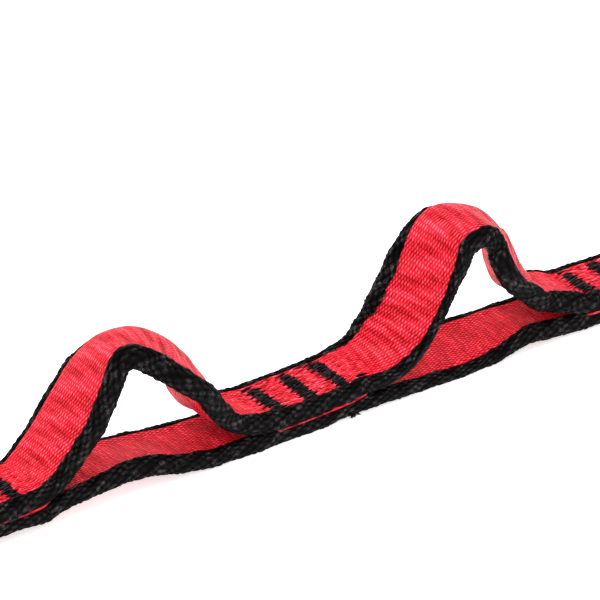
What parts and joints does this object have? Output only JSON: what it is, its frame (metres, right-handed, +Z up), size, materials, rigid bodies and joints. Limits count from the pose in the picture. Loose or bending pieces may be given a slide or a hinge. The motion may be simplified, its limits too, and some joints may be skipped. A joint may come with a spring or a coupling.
{
  "type": "climbing daisy chain",
  "caption": "Sewn nylon daisy chain: two strap layers bartacked at stations with standing pockets between, a girth-hitch loop at one end and a clip loop at the other.",
  "frame": {"origin": "the middle of the chain on the surface that it lies on", "axes": "+X along the chain from the girth-hitch loop to the clip loop, +Z up out of the pockets, +Y across the strap"},
  "size_m": [1.0364, 0.0232, 0.041],
  "materials": {
    "woven_strap": "red woven nylon field between thick black braided selvedges",
    "bartack_thread": "black bonded nylon thread in dense zigzag"
  },
  "bodies": {
    "girth_loop": {"girth_hitch_loop": "woven_strap"},
    "station_1": {"station_1_lower": "woven_strap", "station_1_upper": "woven_strap", "bartack_1_a": "bartack_thread", "bartack_1_b": "bartack_thread", "bartack_1_c": "bartack_thread"},
    "pocket_1": {"pocket_web_1": "woven_strap", "base_web_1": "woven_strap", "bartack_2_a": "bartack_thread", "bartack_2_b": "bartack_thread", "bartack_2_c": "bartack_thread"},
    "pocket_2": {"pocket_web_2": "woven_strap", "base_web_2": "woven_strap", "bartack_3_a": "bartack_thread", "bartack_3_b": "bartack_thread", "bartack_3_c": "bartack_thread"},
    "pocket_3": {"pocket_web_3": "woven_strap", "base_web_3": "woven_strap", "bartack_4_a": "bartack_thread", "bartack_4_b": "bartack_thread", "bartack_4_c": "bartack_thread"},
    "pocket_4": {"pocket_web_4": "woven_strap", "base_web_4": "woven_strap", "bartack_5_a": "bartack_thread", "bartack_5_b": "bartack_thread", "bartack_5_c": "bartack_thread"},
    "pocket_5": {"pocket_web_5": "woven_strap", "base_web_5": "woven_strap", "bartack_6_a": "bartack_thread", "bartack_6_b": "bartack_thread", "bartack_6_c": "bartack_thread"},
    "pocket_6": {"pocket_web_6": "woven_strap", "base_web_6": "woven_strap", "bartack_7_a": "bartack_thread", "bartack_7_b": "bartack_thread", "bartack_7_c": "bartack_thread"},
    "pocket_7": {"pocket_web_7": "woven_strap", "base_web_7": "woven_strap", "bartack_8_a": "bartack_thread", "bartack_8_b": "bartack_thread", "bartack_8_c": "bartack_thread"},
    "pocket_8": {"pocket_web_8": "woven_strap", "base_web_8": "woven_strap", "bartack_9_a": "bartack_thread", "bartack_9_b": "bartack_thread", "bartack_9_c": "bartack_thread"},
    "pocket_9": {"pocket_web_9": "woven_strap", "base_web_9": "woven_strap", "bartack_10_a": "bartack_thread", "bartack_10_b": "bartack_thread", "bartack_10_c": "bartack_thread", "lap_end": "woven_strap"},
    "clip_loop": {"clip_loop_web": "woven_strap"}
  },
  "joints": [
    {"name": "fold_6", "type": "hinge", "parent": "pocket_5", "child": "pocket_6", "pos_m": [0.07648, 0, 0.00415], "axis": [0, -1, 0], "range_deg": [-75, 75]},
    {"name": "fold_7", "type": "hinge", "parent": "pocket_6", "child": "pocket_7", "pos_m": [0.16848, 0, 0.00415], "axis": [0, 1, 0], "range_deg": [-75, 75]},
    {"name": "fold_8", "type": "hinge", "parent": "pocket_7", "child": "pocket_8", "pos_m": [0.26048, 0, 0.00415], "axis": [0, -1, 0], "range_deg": [-75, 75]},
    {"name": "fold_9", "type": "hinge", "parent": "pocket_8", "child": "pocket_9", "pos_m": [0.35248, 0, 0.00415], "axis": [0, 1, 0], "range_deg": [-75, 75]},
    {"name": "clip_loop_fold", "type": "hinge", "parent": "pocket_9", "child": "clip_loop", "pos_m": [0.45748, 0, 0.00415], "axis": [0, -1, 0], "range_deg": [-75, 75]},
    {"name": "fold_5", "type": "hinge", "parent": "pocket_5", "child": "pocket_4", "pos_m": [-0.01552, 0, 0.00415], "axis": [0, 1, 0], "range_deg": [-75, 75]},
    {"name": "fold_4", "type": "hinge", "parent": "pocket_4", "child": "pocket_3", "pos_m": [-0.10752, 0, 0.00415], "axis": [0, -1, 0], "range_deg": [-75, 75]},
    {"name": "fold_3", "type": "hinge", "parent": "pocket_3", "child": "pocket_2", "pos_m": [-0.19952, 0, 0.00415], "axis": [0, 1, 0], "range_deg": [-75, 75]},
    {"name": "fold_2", "type": "hinge", "parent": "pocket_2", "child": "pocket_1", "pos_m": [-0.29152, 0, 0.00415], "axis": [0, -1, 0], "range_deg": [-75, 75]},
    {"name": "fold_1", "type": "hinge", "parent": "pocket_1", "child": "station_1", "pos_m": [-0.38352, 0, 0.00415], "axis": [0, 1, 0], "range_deg": [-75, 75]},
    {"name": "girth_loop_fold", "type": "hinge", "parent": "station_1", "child": "girth_loop", "pos_m": [-0.41152, 0, 0.00415], "axis": [0, -1, 0], "range_deg": [-75, 75]}
  ]
}
